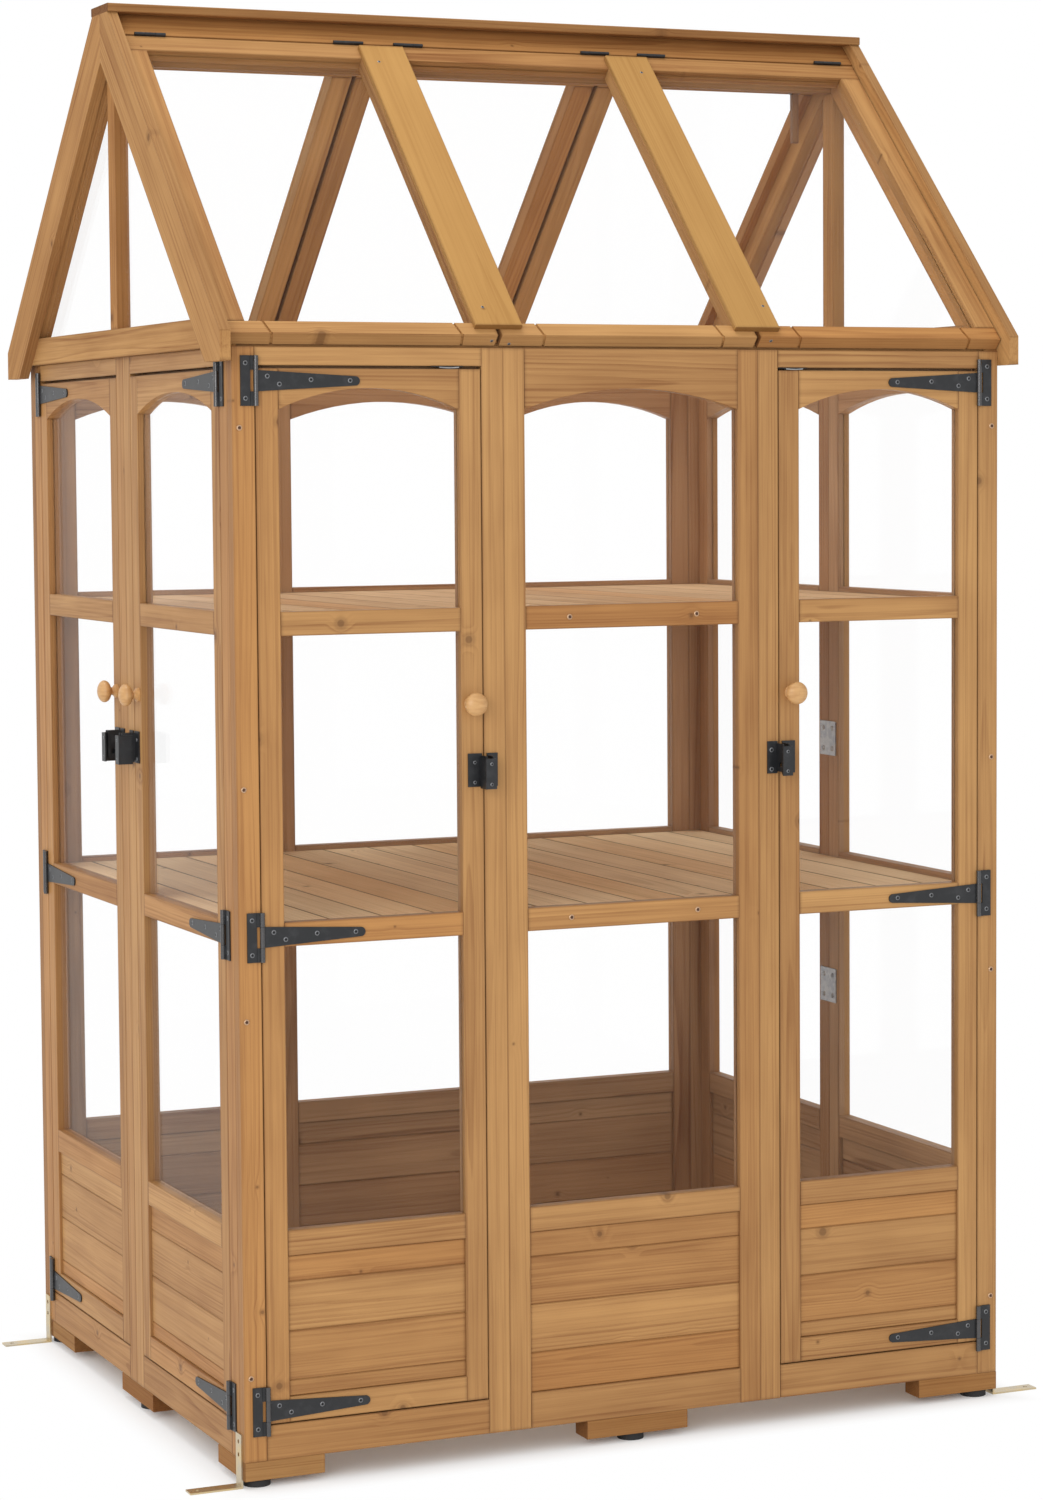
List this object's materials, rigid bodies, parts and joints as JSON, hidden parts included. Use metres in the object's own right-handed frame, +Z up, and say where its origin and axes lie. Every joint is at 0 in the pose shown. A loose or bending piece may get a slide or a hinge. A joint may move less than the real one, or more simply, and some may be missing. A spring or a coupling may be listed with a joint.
{
  "type": "mini greenhouse",
  "caption": "Free-standing wooden greenhouse cabinet with glazed walls, arched panels, hinged doors on the front and one end, inner shelves and a pitched roof with opening vents.",
  "frame": {"origin": "on the ground under the middle of the house", "axes": "+Z up, +X along the front towards the right end, +Y from the front towards the back"},
  "size_m": [1.326, 1.022, 2.043],
  "materials": {
    "stained_wood": "satin",
    "turned_wood": "satin",
    "clear_pane": "gloss",
    "black_iron": "satin",
    "black_rubber": "matte",
    "yellow_zinc": "satin",
    "grey_steel": "satin"
  },
  "bodies": {
    "house": {"front_frame": "stained_wood", "left_frame": "stained_wood", "right_frame": "stained_wood", "back_frame": "stained_wood", "wall_boards": "stained_wood", "lower_shelf": "stained_wood", "upper_shelf": "stained_wood", "shelf_cleats": "stained_wood", "foot_blocks": "stained_wood", "gable_frames": "stained_wood", "barge_boards": "stained_wood", "ridge_cap": "stained_wood", "ridge_boards": "stained_wood", "rear_roof_frames": "stained_wood", "rear_roof_battens": "stained_wood", "wall_panes": "clear_pane", "gable_panes": "clear_pane", "rear_roof_panes": "clear_pane", "feet": "black_rubber", "anchors": "yellow_zinc", "mending_plates": "grey_steel", "screws": "grey_steel", "hinge_leaves": "black_iron", "latch_keepers": "black_iron"},
    "front_left_door": {"front_left_door_frame": "stained_wood", "front_left_door_boards": "stained_wood", "front_left_door_panes": "clear_pane", "front_left_door_ironwork": "black_iron", "front_left_door_knob": "turned_wood"},
    "front_left_door_latch": {"front_left_door_latch_flip": "black_iron"},
    "front_right_door": {"front_right_door_frame": "stained_wood", "front_right_door_boards": "stained_wood", "front_right_door_panes": "clear_pane", "front_right_door_ironwork": "black_iron", "front_right_door_knob": "turned_wood"},
    "front_right_door_latch": {"front_right_door_latch_flip": "black_iron"},
    "side_front_door": {"side_front_door_frame": "stained_wood", "side_front_door_boards": "stained_wood", "side_front_door_panes": "clear_pane", "side_front_door_ironwork": "black_iron", "side_front_door_knob": "turned_wood"},
    "side_front_door_latch": {"side_front_door_latch_flip": "black_iron"},
    "side_rear_door": {"side_rear_door_frame": "stained_wood", "side_rear_door_boards": "stained_wood", "side_rear_door_panes": "clear_pane", "side_rear_door_ironwork": "black_iron", "side_rear_door_knob": "turned_wood"},
    "side_rear_door_latch": {"side_rear_door_latch_flip": "black_iron"},
    "vent_left": {"vent_left_frame": "stained_wood", "vent_left_pane": "clear_pane", "vent_left_hinges": "black_iron", "vent_left_batten": "stained_wood"},
    "vent_middle": {"vent_middle_frame": "stained_wood", "vent_middle_pane": "clear_pane", "vent_middle_hinges": "black_iron"},
    "vent_right": {"vent_right_frame": "stained_wood", "vent_right_pane": "clear_pane", "vent_right_hinges": "black_iron", "vent_right_batten": "stained_wood"},
    "stay": {"roof_stay": "stained_wood"}
  },
  "joints": [
    {"name": "front_left_door_hinge", "type": "hinge", "parent": "house", "child": "front_left_door", "pos_m": [-0.55525, -0.4818, 0.7515], "axis": [0, 0, -1], "range_deg": [0, 110]},
    {"name": "front_right_door_hinge", "type": "hinge", "parent": "house", "child": "front_right_door", "pos_m": [0.55525, -0.4818, 0.7515], "axis": [0, 0, 1], "range_deg": [0, 110]},
    {"name": "side_front_door_hinge", "type": "hinge", "parent": "house", "child": "side_front_door", "pos_m": [-0.5918, -0.42525, 0.7515], "axis": [0, 0, 1], "range_deg": [0, 110]},
    {"name": "side_rear_door_hinge", "type": "hinge", "parent": "house", "child": "side_rear_door", "pos_m": [-0.5918, 0.42525, 0.7515], "axis": [0, 0, -1], "range_deg": [0, 110]},
    {"name": "front_left_latch_pin", "type": "hinge", "parent": "front_left_door", "child": "front_left_door_latch", "pos_m": [-0.2335, -0.489, 0.9775], "axis": [-1, 0, 0], "range_deg": [0, 90]},
    {"name": "front_right_latch_pin", "type": "hinge", "parent": "front_right_door", "child": "front_right_door_latch", "pos_m": [0.2335, -0.489, 0.9775], "axis": [-1, 0, 0], "range_deg": [0, 90]},
    {"name": "side_front_latch_pin", "type": "hinge", "parent": "side_front_door", "child": "side_front_door_latch", "pos_m": [-0.599, -0.0375, 0.993], "axis": [0, 1, 0], "range_deg": [0, 90]},
    {"name": "side_rear_latch_pin", "type": "hinge", "parent": "side_rear_door", "child": "side_rear_door_latch", "pos_m": [-0.599, 0.0375, 0.993], "axis": [0, 1, 0], "range_deg": [0, 90]},
    {"name": "vent_middle_hinge", "type": "hinge", "parent": "house", "child": "vent_middle", "pos_m": [-0.006, -0.04572, 2.00045], "axis": [-1, 0, 0], "range_deg": [0, 60]},
    {"name": "vent_left_hinge", "type": "hinge", "parent": "house", "child": "vent_left", "pos_m": [-0.403, -0.04572, 2.00045], "axis": [-1, 0, 0], "range_deg": [0, 60]},
    {"name": "vent_right_hinge", "type": "hinge", "parent": "house", "child": "vent_right", "pos_m": [0.391, -0.04572, 2.00045], "axis": [-1, 0, 0], "range_deg": [0, 60]},
    {"name": "stay_pin", "type": "hinge", "parent": "house", "child": "stay", "pos_m": [0.529, 0.03772, 1.96086], "axis": [1, 0, 0], "range_deg": [-60, 35]}
  ],
  "couplings": [
    {"joint": "vent_left_hinge", "follows": "vent_middle_hinge", "ratio": 1},
    {"joint": "vent_right_hinge", "follows": "vent_middle_hinge", "ratio": 1}
  ]
}
